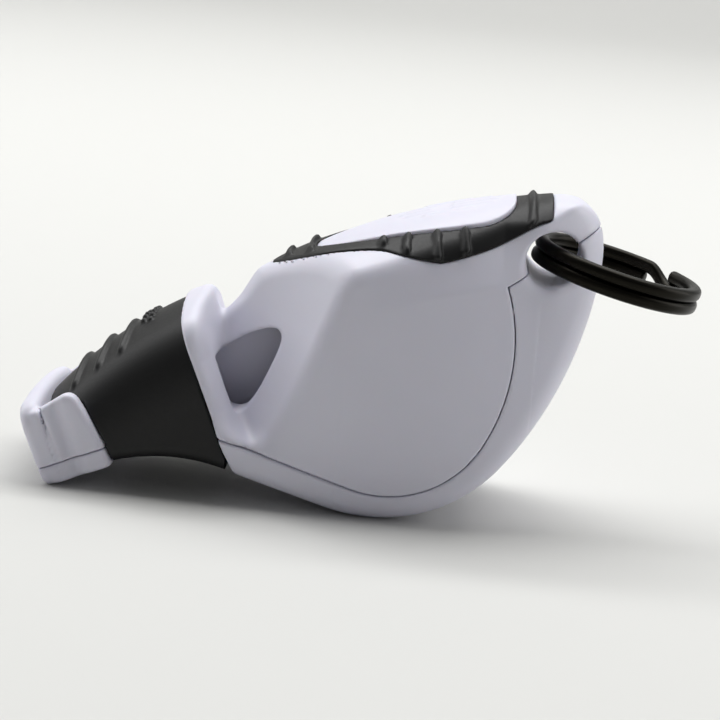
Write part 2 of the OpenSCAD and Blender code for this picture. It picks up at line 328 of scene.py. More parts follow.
@dataclass
class Forms:
    """The whistle's outer forms and cuts, in millimetres.

    Attributes:
        shift: how far the CAD model lies along x from these forms.
        hole: x and z of the lanyard hole's axis.
        body_half: half the width of the body.
        mouth_half: half the width of the mouthpiece.
        wall: thickness of the chambers' walls.
        divider: thickness of the wall between the chambers.
        breath_tilt: how steeply the mouthpiece points down, in degrees.
        breath_at: x and z on the breath axis from which distances along it are counted.
        crest_tilt: how steeply the crest rises where its long arc starts, in degrees.
        crest_r: radius of that arc, in the side view.
        crown_r: radius across the crown where that arc starts.
        crown_cone: half the angle of the cone that the crown narrows by, in degrees.
        crown_square: how square the crown is across, where 2 is round.
        tail_reach: distance along the tilted crest at which the sides would meet.
        taper: how late the sides draw in towards the tail.
        blunt: how full the sides stay before they meet.
        lean: how fast the sides lean in above the crease.
        crease: height of the crease, its rise and its bend, along x.
        scoop_corner: upper rear corner of a scoop's flat.
        scoop_facing: the way that the flat faces.
        hollow: length of the flat's hollow, and how fast it deepens.
        foot: height of the scoops' foot, the x of that height, and how fast it falls towards the tail.
        collar_half: half the width of the collar.
        collar_front: how far back along the breath axis the collar's front lies.
        collar_top: radius of the collar's top edge, and how far its middle lies under the axis.
        dome_r: radius across the mouthpiece's top.
        arch: x, depth below the table and radius of the circle that arches under the mouthpiece.
        rim_at: how far ahead the rim's middle lies, and half its thickness.
        rim_top: radius of the rim's top edge, and how far its middle lies under the breath axis.
        rim_low: how far the rim and the tabs reach under the breath axis.
        groove_at: how far ahead the groove between the rim and a tab lies, and half its width.
        throat: half the breath slot's width and half its height at the throat.
        opening: the same at the lips.
        tail_parting: x, z and rise in degrees of the parting's short run beside the lanyard hole.
        parting: height of the parting along the mouthpiece, from the breath axis.
        skin: depth of the crown's soft skin.
    """

    shift: float
    hole: tuple[float, float]
    body_half: float
    mouth_half: float = 9.5
    wall: float = 1.6
    divider: float = 1.2
    breath_tilt: float = 24.0
    breath_at: tuple[float, float] = (-20.0, 9.75)
    crest_tilt: float = 17.0
    crest_r: float = 87.0
    crown_r: float = 10.6
    crown_cone: float = 27.4
    crown_square: float = 2.4
    tail_reach: float = 24.9
    taper: float = 2.3
    blunt: float = 0.8
    lean: float = 0.3
    crease: tuple[float, float, float] = (21.45, 0.29, -0.0075)
    scoop_corner: tuple[float, float, float] = (-6.7, 10.5, 22.1)
    scoop_facing: tuple[float, float, float] = (-0.6955, 0.6757, 0.2452)
    hollow: tuple[float, float] = (14.6, 0.010)
    foot: tuple[float, float, float] = (5.3, -12.2, 0.27)
    collar_half: float = 9.95
    collar_front: float = 1.23
    collar_top: tuple[float, float] = (26.0, 17.6)
    dome_r: float = 17.0
    arch: tuple[float, float, float] = (-21.25, 14.4, 18.2)
    rim_at: tuple[float, float] = (15.15, 1.05)
    rim_top: tuple[float, float] = (90.0, 85.4)
    rim_low: float = 3.77
    groove_at: tuple[float, float] = (13.95, 0.1)
    throat: tuple[float, float] = (2.7, 0.45)
    opening: tuple[float, float] = (6.5, 1.4)
    tail_parting: tuple[float, float, float] = (8.16, 23.0, 33.2)
    parting: float = -1.9
    skin: float = 0.9
    profile: Outline = field(init=False)
    seam: Outline = field(init=False)
    outlet: Loop = field(init=False)
    leaf: Loop = field(init=False)
    front: Loop = field(init=False)
    skirt: Loop = field(init=False)

    def __post_init__(self) -> None:
        """Lays out the outlines."""
        self.profile = Outline((-21, 4.013, -14), [
            (14.74, 0), (15.7, 65), (36, 35), (4.75, 104), (self.crest_r, 17.9), (1.3, 0), (1.5, 34),
            (2.4, 0), (4, -14), (9, 0)])
        self.seam = Outline((-30, 9.906, -15.3), [(26.378, 0), (10.4, 77), (17.8, 50), (9, 0)])
        self.outlet = Loop([
            (-19.6, 12.75), (-17.65, 13.75), (-16, 15.03), (-14.4, 15.95), (-13.4, 16.35), (-12.7, 16.35),
            (-12.35, 15.8), (-12.5, 14.7), (-13.2, 12.7), (-14.1, 10.5), (-14.9, 9.1), (-15.6, 8.5),
            (-16.5, 8.3), (-17.3, 8.6), (-18.2, 10.3), (-19.2, 12.1)])
        leaf = [(-10, 1.3), (-9.2, 2.8), (-7.1, 4.5), (-4.5, 5.6), (-1.9, 6.1), (0.8, 6.35), (3.4, 6.35),
                (5.9, 6), (7.4, 5), (8.1, 3.7), (8.3, 1.9)]
        front = [(-14, 0.8), (-12.2, 3.1), (-9.65, 5.1), (-7, 6.4), (-3.6, 7.8), (-1.5, 9.4), (1.5, 11.3),
                 (16, 11.3)]
        self.leaf = Loop([*leaf, *((x, -y) for x, y in reversed(leaf))])
        self.front = Loop([*front, *((x, -y) for x, y in reversed(front))])
        self.skirt = Loop([
            (-18, 20), (-10, 20), (-6.5, 23.6), (-4, 24.9), (-2, 25.15), (0, 25), (1.4, 24.85), (2.2, 24.9),
            (4.1, 25.5), (6.4, 26.4), (8.1, 27.3), (10.1, 28.5), (11.6, 29.1), (14, 29.4), (14, 36),
            (-18, 36)])

    def breath(self, x: Array, z: Array) -> tuple[Array, Array]:
        """Where places lie from the breath axis.

        Args:
            x: places from the belly to the tail.
            z: their heights.

        Returns:
            Distance along the axis towards the lips, and height above it.
        """
        c, s = turned(self.breath_tilt)
        dx, dz = x - self.breath_at[0], z - self.breath_at[1]
        return -dx * c - dz * s, -dx * s + dz * c

    def width(self, x: Array, z: Array) -> tuple[Array, Array]:
        """The body's width, which swells over the belly and draws in towards the tail.

        Args:
            x: places from the belly to the tail.
            z: their heights.

        Returns:
            Half the width, and the length of the side's slope.
        """
        c, s = turned(self.crest_tilt)
        along = x * c + z * s
        share = np.clip(along / self.tail_reach, 0.0, 0.9995)
        rest = 1.0 - share**self.taper
        half = self.body_half * rest**self.blunt
        fall = self.blunt * rest ** (self.blunt - 1.0) * self.taper * share ** (self.taper - 1.0)
        fall = fall * self.body_half / self.tail_reach
        half = half - 0.004 * np.minimum(along, 0.0) ** 2 - 0.0035 * np.maximum(14.0 - z, 0.0) ** 2
        return half, np.sqrt(1.0 + np.minimum(fall, 4.0) ** 2)

    def crest(self, x: Array, z: Array) -> tuple[Array, Array]:
        """Where places lie from the crest, both ways along its long arc.

        Args:
            x: places from the belly to the tail.
            z: their heights.

        Returns:
            Distance along the crest towards the tail, and height above it.
        """
        cx, cz, radius = self.profile.arcs[3][:3]
        dx, dz = x - cx, z - cz
        heading = np.arctan2(dx, dz)
        return radius * (heading + math.radians(self.crest_tilt)), np.hypot(dx, dz) - radius

    def crown(self, x: Array, y: Array, z: Array) -> Array:
        """The crown: a cone along the crest, which narrows towards the tail, over upright sides.

        Args:
            x: places from the belly to the tail.
            y: places across.
            z: heights.

        Returns:
            The field.
        """
        along, up = self.crest(x, z)
        c, s = turned(self.crown_cone)
        apex = self.crown_r / s
        down = -(along - apex) * c - up * s
        rise = -(along - apex) * s + up * c
        radius = down * s / c
        swell = (np.abs(y) ** self.crown_square + np.maximum(rise, 0.0) ** self.crown_square)
        return (swell ** (1.0 / self.crown_square) - radius) * c

    def body(self, x: Array, y: Array, z: Array) -> Array:
        """The body before its scoops are cut.

        Args:
            x: places from the belly to the tail.
            y: places across.
            z: heights.

        Returns:
            The field.
        """
        half, steep = self.width(x, z)
        flank = (np.abs(y) - half) / steep
        lean = self.lean * np.clip((x + 6.0) / 8.0, 0.0, 1.0) * np.clip((11.5 - x) / 4.0, 0.0, 1.0)
        start, rise, bend = self.crease
        flank = meet(flank, flank + lean * (z - start - rise * x - bend * x * x), 0.12)
        soft = 0.3 + 0.06 * np.clip(8.0 - x, 0.0, 14.0)
        _, up = self.crest(x, z)
        edge = 0.5 + 1.6 * np.clip(-up / 5.0, 0.0, 1.0)
        return meet(meet(flank, self.crown(x, y, z), soft), -self.profile.left(x, z), edge)

    def facet(self, x: Array, y: Array, z: Array) -> Array:
        """The hollowed flat of a scoop.

        Args:
            x: places from the belly to the tail.
            y: places across.
            z: heights.

        Returns:
            Distance past the flat, positive where the scoop is cut away.
        """
        px, py, pz = self.scoop_corner
        fx, fy, fz = self.scoop_facing
        run, rate = self.hollow
        across = np.clip(-0.697 * (x - px) - 0.717 * (np.abs(y) - py), 0.0, run)
        return fx * (x - px) + fy * (np.abs(y) - py) + fz * (z - pz) + rate * across * (run - across)

    def scoop(self, x: Array, y: Array, z: Array) -> Array:
        """The scoops' cut: the facet over a foot that sweeps forward.

        Args:
            x: places from the belly to the tail.
            y: places across.
            z: heights.

        Returns:
            The field, positive inside the cut.
        """
        height, start, fall = self.foot
        foot = (z - height + fall * (x - start)) / math.hypot(1.0, fall)
        return join(self.facet(x, y, z), foot, 2.2)

    def shell(self, x: Array, y: Array, z: Array) -> Array:
        """The body with its scoops."""
        return meet(self.body(x, y, z), self.scoop(x, y, z), 1.1)

    def collar(self, x: Array, y: Array, z: Array) -> Array:
        """The flange behind the mouthpiece, thickest at the top and thinned towards its sides.

        Args:
            x: places from the belly to the tail.
            y: places across.
            z: heights.

        Returns:
            The field.
        """
        ahead, up = self.breath(x, z)
        radius, under = self.collar_top
        top = np.hypot(y, up + under) - radius
        face = meet(meet(np.abs(y) - self.collar_half, top, 2.6), -(up + 5.6), 1.2)
        thick = 0.9 + 0.45 * np.exp(-((y / 5.5) ** 2)) * np.clip(up / 8.0, 0.0, 1.0)
        side = np.clip(1.6 - np.abs(up - 0.5) / 4.2, 0.0, 1.0)
        bevel = 0.085 * np.clip(np.abs(y) - 6.0, 0.0, 3.9) ** 2 * side
        rear = -(ahead + self.collar_front + 2.0 * thick) + bevel
        return meet(meet(face, rear, 1.1), ahead + self.collar_front, 0.4)

    def mouth(self, x: Array, y: Array, z: Array, inset: float = 0.0) -> Array:
        """The mouthpiece from the collar to the rim, domed above and arched below.

        Args:
            x: places from the belly to the tail.
            y: places across.
            z: heights.
            inset: how much smaller it's drawn.

        Returns:
            The field.
        """
        ahead, up = self.breath(x, z)
        along = np.clip(ahead + 1.2, -2.0, 20.0)
        above = 0.96 * (up - 8.0 + 0.085 * along + 0.0135 * along * along)
        top = np.hypot(y, above + self.dome_r) - self.dome_r
        sides = np.abs(y) - (self.mouth_half - 0.12)
        arch_x, arch_down, arch_r = self.arch
        arch = arch_r - np.hypot(x - arch_x, z + arch_down)
        shape = meet(meet(top, sides, 4.0), arch, 1.3)
        return meet(meet(shape + inset, -(ahead + 2.2), 0.3), ahead - 14.6, 0.5)

    def tab(self, ahead: Array, up: Array) -> Array:
        """The side tabs' outline.

        Args:
            ahead: distance along the breath axis.
            up: height above it.

        Returns:
            The field.
        """
        back = 9.2 + 0.22 * np.maximum(up + 1.4, 0.0) - ahead
        top = 0.976 * (up - 3.58 - 0.22 * (13.74 - ahead))
        return meet(meet(back, top, 1.3), ahead - 15.0, 0.3)

    def lips(self, x: Array, y: Array, z: Array) -> Array:
        """The white rim and the side tabs behind it, whose flanks dip in a shallow valley.

        Args:
            x: places from the belly to the tail.
            y: places across.
            z: heights.

        Returns:
            The field.
        """
        ahead, up = self.breath(x, z)
        flank = self.mouth_half - 0.4 * np.exp(-(((ahead - 12.5) / 0.8) ** 2))
        side = np.abs(y) - flank
        rim_r, rim_under = self.rim_top
        crown = np.hypot(y, up + rim_under) - rim_r
        low = -(up + self.rim_low)
        rim_middle, rim_half = self.rim_at
        rim = meet(meet(meet(side, crown, 2.2), low, 1.2), np.abs(ahead - rim_middle) - rim_half, 1.0)
        inner = join(7.9 - np.abs(y), up - self.parting, 0.3)
        tab = meet(meet(side, self.tab(ahead, up), 0.7), meet(low, inner, 0.3), 0.6)
        deep = 0.9 * np.clip((up - 0.6) / 2.8, 0.0, 1.0)
        groove_middle, groove_half = self.groove_at
        groove = np.maximum(np.abs(ahead - groove_middle) - groove_half, self.mouth_half - deep - np.abs(y))
        return meet(join(rim, tab, 0.3), -groove, 0.3)

    def slot(self, x: Array, y: Array, z: Array) -> Array:
        """The breath slot, which narrows from the lips to the throat and ends blind there.

        Args:
            x: places from the belly to the tail.
            y: places across.
            z: heights.

        Returns:
            The field, negative in the slot.
        """
        ahead, up = self.breath(x, z)
        open_by = np.clip(ahead / 9.0, 0.0, 1.0)
        half = self.throat[0] + (self.opening[0] - self.throat[0]) * open_by
        tall = self.throat[1] + (self.opening[1] - self.throat[1]) * open_by
        flare = 0.25 * np.clip(ahead - 15.0, 0.0, 2.0) ** 2
        box = meet(np.abs(y) - half - flare, np.abs(up + 0.5) - tall - flare, 0.4)
        return meet(box, 0.3 - ahead, 0.3)

    def cover(self, x: Array, z: Array) -> Array:
        """The side of the parting that the lower cover takes.

        Args:
            x: places from the belly to the tail.
            z: their heights.

        Returns:
            The field, negative in the lower cover.
        """
        _, up = self.breath(x, z)
        tail_x, tail_z, rise = self.tail_parting
        c, s = turned(rise)
        tail = (z - tail_z) * c - (x - tail_x) * s
        mouth = np.minimum(up - self.parting, -(x + 19.5))
        return np.maximum(np.maximum(self.seam.left(x, z), np.minimum(tail, x)), mouth)

    def skin_depth(self, x: Array) -> Array:
        """How deep the crown's soft skin sits, shallow at its front tip."""
        return self.skin - 0.55 * np.clip((-7.0 - x) / 3.0, 0.0, 1.0)

    def grip_area(self, x: Array, y: Array, z: Array) -> Array:
        """Where the crown's soft skin lies, round the leaf-shaped panel.

        Args:
            x: places from the belly to the tail.
            y: places across.
            z: heights.

        Returns:
            The field.
        """
        outer = meet(self.front.outside(x, y), self.skirt.outside(x, z), 0.5)
        outer = np.maximum(meet(outer, x - 11.72, 0.4), 20.0 - z)
        outer = meet(outer, self.facet(x, y, z) + 0.5, 0.6)
        return np.maximum(outer, -self.leaf.outside(x, y))


# ---- pieces ----


def piece_from(name: str, solid: Field, points: Array, faces: Array, forms: Forms,
               keep: float) -> bpy.types.Object:
    """A smooth mesh in the CAD model's place, lightened, and shaded by the field itself.

    Args:
        name: the piece's name.
        solid: the field that it came from.
        points: its points in millimetres.
        faces: four point numbers for each face.
        forms: where the CAD model lies.
        keep: share of the faces that is kept where the surface is plain.

    Returns:
        The new object, linked into the scene.
    """
    shift = np.array([forms.shift, 0.0, 0.0])
    mesh = bpy.data.meshes.new(name)
    mesh.vertices.add(len(points))
    mesh.vertices.foreach_set("co", ((points + shift) * MM).astype(np.float32).reshape(-1))
    mesh.loops.add(faces.size)
    mesh.loops.foreach_set("vertex_index", faces.astype(np.int32).reshape(-1))
    mesh.polygons.add(len(faces))
    mesh.polygons.foreach_set("loop_start", np.arange(0, faces.size, 4, dtype=np.int32))
    mesh.update(calc_edges=True)
    mesh.validate()
    piece = bpy.data.objects.new(name, mesh)
    bpy.context.scene.collection.objects.link(piece)
    lighten = piece.modifiers.new("lighten", "DECIMATE")
    lighten.ratio = keep
    bpy.context.view_layer.update()
    light = bpy.data.meshes.new_from_object(piece.evaluated_get(bpy.context.evaluated_depsgraph_get()))
    piece.modifiers.remove(lighten)
    piece.data = light
    light.name = name
    flat = np.empty(3 * len(light.vertices), np.float32)
    light.vertices.foreach_get("co", flat)
    place = flat.reshape(-1, 3).astype(float) / MM - shift
    light.polygons.foreach_set("use_smooth", np.ones(len(light.polygons), bool))
    light.normals_split_custom_set_from_vertices(slope(solid, place, SHADE_REACH))
    return piece


def dressed(piece: bpy.types.Object, body: str, node: str, material: bpy.types.Material) -> None:
    """Finishes a piece and joins it to the CAD model.

    Args:
        piece: the piece.
        body: the body that it rides on.
        node: the CAD node that it stands for.
        material: its finish.
    """
    piece.data.materials.clear()
    piece.data.materials.append(material)
    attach(piece, body)
    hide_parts(node)
    LOG.info("%s: %d faces, rides on %s", piece.name, len(piece.data.polygons), body)


@dataclass
class Shells:
    """The two white shells of the housing, which meet at the parting.

    Attributes:
        forms: the whistle's forms.
        grade: how fine the meshes are.
        seam_gap: width of the parting's line.
        seam_round: rounding of the shells' edges along it.
        leaf_lift: how far the panel stands proud of the crown.
        hole_r: radius of the lanyard hole.
        outlet_floor: distance from the middle to the scoops' floors.
        skin_gap: clearance round the crown's soft skin, below it and at its edge.
        ridges: y, and the lowest and highest x, of each plain ridge on the panel.
        ridge_rise: height of a ridge.
        ridge_half: about half the width of a ridge.
        low: lowest x, half the width and lowest z of the space that is meshed.
        far: highest x of that space.
        keep: share of the faces that is kept.
    """

    forms: Forms
    grade: Grade
    seam_gap: float = 0.09
    seam_round: float = 0.22
    leaf_lift: float = 0.32
    hole_r: float = 2.6
    outlet_floor: float = 6.6
    skin_gap: tuple[float, float] = (0.05, 0.04)
    ridges: tuple[tuple[float, float, float], ...] = (
        (-2.9, -0.6, 4.6), (-1.5, -2.2, 1.0), (-1.5, 2.0, 6.4), (0.0, -2.8, 0.8), (0.0, 1.9, 6.8),
        (1.5, -2.2, 1.0), (1.5, 2.0, 6.4), (2.9, -0.6, 4.6))
    ridge_rise: float = 0.15
    ridge_half: float = 0.33
    low: tuple[float, float, float] = (-38.0, 11.2, -0.7)
    far: float = 19.5
    keep: float = 0.5

    def chamber(self, x: Array, y: Array, z: Array) -> Array:
        """One sound chamber on each side of the dividing wall, drawn as far back as light can reach.

        Args:
            x: places from the belly to the tail.
            y: places across.
            z: heights.

        Returns:
            The field, negative in the chambers.
        """
        f = self.forms
        inner = meet(f.body(x, y, z) + f.wall, f.scoop(x, y, z) + f.wall, 0.6)
        return meet(meet(inner, 0.5 * f.divider - np.abs(y), 0.5), x - 3.0, 1.0)

    def outlet(self, x: Array, y: Array, z: Array) -> Array:
        """The windows through the scoops' floors.

        Args:
            x: places from the belly to the tail.
            y: places across.
            z: heights.

        Returns:
            The field, negative in the windows.
        """
        f = self.forms
        ahead, _ = f.breath(x, z)
        reach = np.abs(y) - self.outlet_floor - 4.0 * np.clip(-ahead - 3.1, 0.0, 2.0)
        window = meet(f.outlet.outside(x, z), 0.5 * f.divider - np.abs(y), 0.3)
        return meet(window, reach, 0.5)

    def panel(self, x: Array, y: Array, z: Array) -> Array:
        """The raised leaf-shaped panel on the crown, with rows of plain ridges.

        Args:
            x: places from the belly to the tail.
            y: places across.
            z: heights.

        Returns:
            The field.
        """
        f = self.forms
        rows = np.zeros(np.broadcast(x, y).shape)
        for row, start, stop in self.ridges:
            ends = np.clip(np.minimum(x - start, stop - x) / 0.5, 0.0, 1.0)
            rows = rows + np.exp(-(((y - row) / self.ridge_half) ** 2)) * ends
        lift = self.leaf_lift * np.clip((x + 10.0) / 7.0, 0.15, 1.0) + self.ridge_rise * rows
        pad = meet(f.shell(x, y, z) - lift, f.leaf.outside(x, y) + 0.03, 0.22)
        return np.maximum(pad, 18.0 - z)

    def housing(self, x: Array, y: Array, z: Array) -> Array:
        """Both shells as one.

        Args:
            x: places from the belly to the tail.
            y: places across.
            z: heights.

        Returns:
            The field.
        """
        f = self.forms
        shell = f.shell(x, y, z)
        solid = join(shell, f.collar(x, y, z), 1.5)
        solid = meet(solid, f.breath(x, z)[0] + f.collar_front, 0.25)
        under, beside = self.skin_gap
        recess = np.maximum(-(shell + f.skin_depth(x) + under), f.grip_area(x, y, z) - beside)
        solid = meet(solid, -recess, 0.12)
        solid = join(solid, self.panel(x, y, z), 0.12)
        core = f.mouth(x, y, z, MouthGrip.skin + under)
        solid = join(solid, join(core, f.lips(x, y, z), 0.1), 0.1)
        solid = meet(solid, -self.chamber(x, y, z), 0.2)
        solid = meet(solid, -self.outlet(x, y, z), 0.35)
        solid = meet(solid, -f.slot(x, y, z), 0.3)
        dx, dz = x - f.hole[0], z - f.hole[1]
        round_hole = self.hole_r - np.hypot(dx, dz)
        lip = 0.7 - 0.35 * np.clip(dz / self.hole_r, -1.0, 1.0)
        return meet(solid, round_hole, lip)

    def upper(self, x: Array, y: Array, z: Array) -> Array:
        """The upper shell."""
        return meet(self.housing(x, y, z), 0.5 * self.seam_gap - self.forms.cover(x, z), self.seam_round)

    def lower(self, x: Array, y: Array, z: Array) -> Array:
        """The lower shell."""
        return meet(self.housing(x, y, z), self.forms.cover(x, z) + 0.5 * self.seam_gap, self.seam_round)

    def build(self, material: bpy.types.Material) -> None:
        """Meshes and dresses both shells.

        Args:
            material: their finish.
        """
        step = self.grade.value[0]
        for node, solid, high in (("upper_housing", self.upper, 32.0), ("lower_cover", self.lower, 31.0)):
            points, faces = contour(solid, self.low, (self.far, 0.0, high), step)
            dressed(piece_from(node + "_shell", solid, points, faces, self.forms, self.keep),
                    "whistle", node, material)


@dataclass
class MouthGrip:
    """The soft sleeve over-moulded on the mouthpiece, with three ribs across its top.

    Attributes:
        forms: the whistle's forms.
        grade: how fine the mesh is.
        skin: thickness of the sleeve.
        rib_rise: height of a rib.
        rib_half: half the width of a rib.
        ribs: distances of the ribs along the breath axis.
        rib_reach: how far a rib reaches from the middle.
        rib_sweep: how fast a rib sweeps forward away from the middle.
        dots: distance ahead, and distance from the middle, of each plain dot.
        dot_r: radius of a dot.
        front_at: distance of the sleeve's front end along the breath axis.
        low: lowest x, half the width and lowest z of the space that is meshed.
        high: highest x and z of that space, round a y that isn't read.
        keep: share of the faces that is kept.
    """

    forms: Forms
    grade: Grade
    skin: float = 1.2
    rib_rise: float = 0.45
    rib_half: float = 0.45
    ribs: tuple[float, ...] = (10.2, 7.4, 4.8)
    rib_reach: float = 6.3
    rib_sweep: float = 0.022
    dots: tuple[tuple[float, float], ...] = ((3.2, 0.7), (3.2, 2.1), (2.4, 0.0), (2.4, 1.4), (2.4, 2.8))
    dot_r: float = 0.36
    front_at: float = 14.05
    low: tuple[float, float, float] = (-37.0, 10.2, 0.2)
    high: tuple[float, float, float] = (-16.5, 0.0, 20.0)
    keep: float = 0.6

    def solid(self, x: Array, y: Array, z: Array) -> Array:
        """The sleeve with its ribs and dots, cut away under the side tabs.

        Args:
            x: places from the belly to the tail.
            y: places across.
            z: heights.

        Returns:
            The field.
        """
        f = self.forms
        ahead, up = f.breath(x, z)
        outer = f.mouth(x, y, z)
        skin = meet(outer, -f.mouth(x, y, z, self.skin), 0.1)
        for place in self.ribs:
            swept = ahead - place - self.rib_sweep * y * y
            bar = meet(np.abs(swept) - self.rib_half, outer - self.rib_rise, 0.6)
            bar = meet(meet(bar, np.abs(y) - self.rib_reach, 0.9), -outer - 0.6, 0.1)
            skin = join(skin, np.maximum(bar, 2.0 - up), 0.25)
        for place, beside in self.dots:
            dot = np.hypot(np.hypot(ahead - place, np.abs(y) - beside), outer - 0.05) - self.dot_r
            skin = join(skin, np.maximum(dot, 2.0 - up), 0.15)
        skin = meet(skin, -(ahead + 1.2), 0.15)
        beyond = np.maximum(f.tab(ahead, up), join(7.85 - np.abs(y), up - f.parting, 0.3))
        skin = meet(skin, 0.06 - beyond, 0.12)
        return meet(skin, ahead - self.front_at, 0.15)

    def build(self, material: bpy.types.Material) -> None:
        """Meshes and dresses the sleeve.

        Args:
            material: its finish.
        """
        points, faces = contour(self.solid, self.low, self.high, self.grade.value[1])
        dressed(piece_from("mouth_sleeve", self.solid, points, faces, self.forms, self.keep),
                "whistle", "mouth_grip", material)


@dataclass
class FingerGrip:
    """The soft skin over-moulded on the crown round the panel, with its ribs.

    Attributes:
        forms: the whistle's forms.
        grade: how fine the mesh is.
        proud: how far the skin stands proud of the shell.
        rib_rise: height of a rib.
        rib_half: half the width of a rib.
        front_ribs: x of the ribs ahead of the panel.
        side_ribs: x of each rib beside the panel, and how far it sweeps back for each millimetre outward.
        sweep_from: distance from the middle at which a side rib has that x.
        rear_rib: x of the rib behind the panel.
        rib_root: how deep a rib reaches into the skin.
        low: lowest x, half the width and lowest z of the space that is meshed.
        high: highest x and z of that space, round a y that isn't read.
        keep: share of the faces that is kept.
    """

    forms: Forms
    grade: Grade
    proud: float = 0.12
    rib_rise: float = 0.58
    rib_half: float = 0.38
    front_ribs: tuple[float, ...] = (-12.7, -10.55)
    side_ribs: tuple[tuple[float, float], ...] = ((-3.7, 0.0), (-1.45, 0.0), (0.8, 0.16), (3.2, 0.22))
    sweep_from: float = 4.5
    rear_rib: float = 9.85
    rib_root: float = 0.25
    low: tuple[float, float, float] = (-15.6, 10.2, 20.5)
    high: tuple[float, float, float] = (12.9, 0.0, 32.0)
    keep: float = 0.7

    def rib(self, x: Array, outer: Array, area: Array, place: Array | float) -> Array:
        """One rounded rib across the skin, which swells a little towards its ends.

        Args:
            x: places from the belly to the tail.
            outer: the shell's field there.
            area: the skin's outline there.
            place: x of the rib's middle.

        Returns:
            The field.
        """
        swell = 0.1 * np.exp(-(((area + 0.5) / 0.6) ** 2))
        bar = meet(np.abs(x - place) - self.rib_half - swell, outer - self.rib_rise - swell, 0.7)
        return meet(bar, area + 0.12, 0.7)

    def solid(self, x: Array, y: Array, z: Array) -> Array:
        """The skin and its ribs.

        Args:
            x: places from the belly to the tail.
            y: places across.
            z: heights.

        Returns:
            The field.
        """
        f = self.forms
        outer = f.shell(x, y, z)
        area = f.grip_area(x, y, z)
        skin = meet(meet(outer - self.proud, -(outer + f.skin_depth(x)), 0.1), area, 0.16)
        ribs = [self.rib(x, outer, area, place) for place in (*self.front_ribs, self.rear_rib)]
        for place, sweep in self.side_ribs:
            ribs.append(self.rib(x, outer, area, place + sweep * (np.abs(y) - self.sweep_from)))
        for rib in ribs:
            skin = join(skin, np.maximum(rib, -(outer + self.rib_root)), 0.2)
        return np.maximum(skin, 20.0 - z)

    def build(self, material: bpy.types.Material) -> None:
        """Meshes and dresses the skin.

        Args:
            material: its finish.
        """
        points, faces = contour(self.solid, self.low, self.high, self.grade.value[1])
        dressed(piece_from("finger_skin", self.solid, points, faces, self.forms, self.keep),
                "whistle", "finger_grip", material)


@dataclass
class SplitRing:
    """The split ring: flattened spring wire wound two turns, with a step where it changes layer.

    Attributes:
        box: the CAD ring's lowest and highest corners, in metres.
        drop: how far the ring hangs below level, in degrees.
        wire: size of the wire's section, in metres.
        layer: half the distance between the two turns' middles, in metres.
        step_half: half the turn over which the wire changes layer.
        step_at: where the wire starts, from the ring's far side.
        square: how square the wire's section is, where 2 is round.
        flat: height of the section as a share of its width.
        sides: faces round the section.
        rows: faces along the wire.
        ends: turn from each end and size of the section there, which round the ends over.
        ends_run: turn that the rounding takes.
    """

    box: tuple[Vector, Vector]
    drop: float = 12.8
    wire: float = 1.3 * MM
    layer: float = 0.624 * MM
    step_half: float = math.radians(11)
    step_at: float = math.radians(62)
    square: float = 2.5
    flat: float = 0.975
    sides: int = 28
    rows: int = 460
    ends: tuple[tuple[float, float], ...] = ((0.0, 0.0), (0.0, 0.62), (0.006, 0.86), (0.016, 0.97))
    ends_run: float = 0.02

    def section(self, share: float) -> list[tuple[float, float]]:
        """The wire's section.

        Args:
            share: its size as a share of the whole section's.

        Returns:
            Its points, as (out, up) pairs in metres.
        """
        pairs = []
        for i in range(self.sides):
            c, s = turned(360.0 * i / self.sides)
            swell = (abs(c) ** self.square + abs(s) ** self.square) ** (-1 / self.square)
            size = 0.5 * self.wire * share * swell
            pairs.append((size * c, self.flat * size * s))
        return pairs

    def build(self, material: bpy.types.Material) -> None:
        """Sweeps the wire, closes its ends and dresses the ring.

        Args:
            material: its finish.
        """
        low, high = self.box
        radius = 0.5 * (high.y - low.y) - 0.5 * self.wire
        c, s = turned(self.drop)
        out, up = Vector((c, 0.0, -s)), Vector((s, 0.0, c))
        middle = Vector((0.5 * (low.x + high.x), 0.0, 0.5 * (low.z + high.z)))
        whole = 4 * math.pi - 2 * self.step_half
        plain = whole - 2 * self.ends_run
        runs = list(self.ends)
        runs += [(self.ends_run + plain * i / self.rows, 1.0) for i in range(self.rows + 1)]
        runs += [(whole - near, share) for near, share in reversed(self.ends)]
        points, lengths = [], []
        for turn, share in runs:
            angle = self.step_at + turn
            pass_over = (turn - 0.5 * whole) / self.step_half
            rise = self.layer * math.sin(0.5 * math.pi * max(-1.0, min(1.0, pass_over)))
            away = math.cos(angle) * out + math.sin(angle) * Vector((0.0, 1.0, 0.0))
            for across, above in self.section(share):
                points.append(middle + (radius + across) * away + (rise + above) * up)
            lengths.append(radius * turn)
        faces = []
        for i in range(len(runs) - 1):
            for k in range(self.sides):
                n = (k + 1) % self.sides
                faces.append((i * self.sides + k, i * self.sides + n, (i + 1) * self.sides + n,
                              (i + 1) * self.sides + k))
        mesh = bpy.data.meshes.new("ring_coil")
        mesh.from_pydata([tuple(p) for p in points], [], faces)
        grain = mesh.uv_layers.new(name="wire")
        for face in mesh.polygons:
            i, k = divmod(face.index, self.sides)
            for corner, (di, dk) in zip(face.loop_indices, ((0, 0), (0, 1), (1, 1), (1, 0))):
                grain.data[corner].uv = (lengths[i + di], (k + dk) * math.pi * self.wire / self.sides)
        mesh.polygons.foreach_set("use_smooth", np.ones(len(mesh.polygons), bool))
        mesh.update()
        ring = bpy.data.objects.new("ring_coil", mesh)
        bpy.context.scene.collection.objects.link(ring)
        dressed(ring, "ring", "split_ring", material)


# ---- finishes ----


# Places of a mix node's colour sockets: two inputs and the output. Sockets of other kinds share their names.
MIX_FIRST = 6
MIX_SECOND = 7
MIX_RESULT = 2


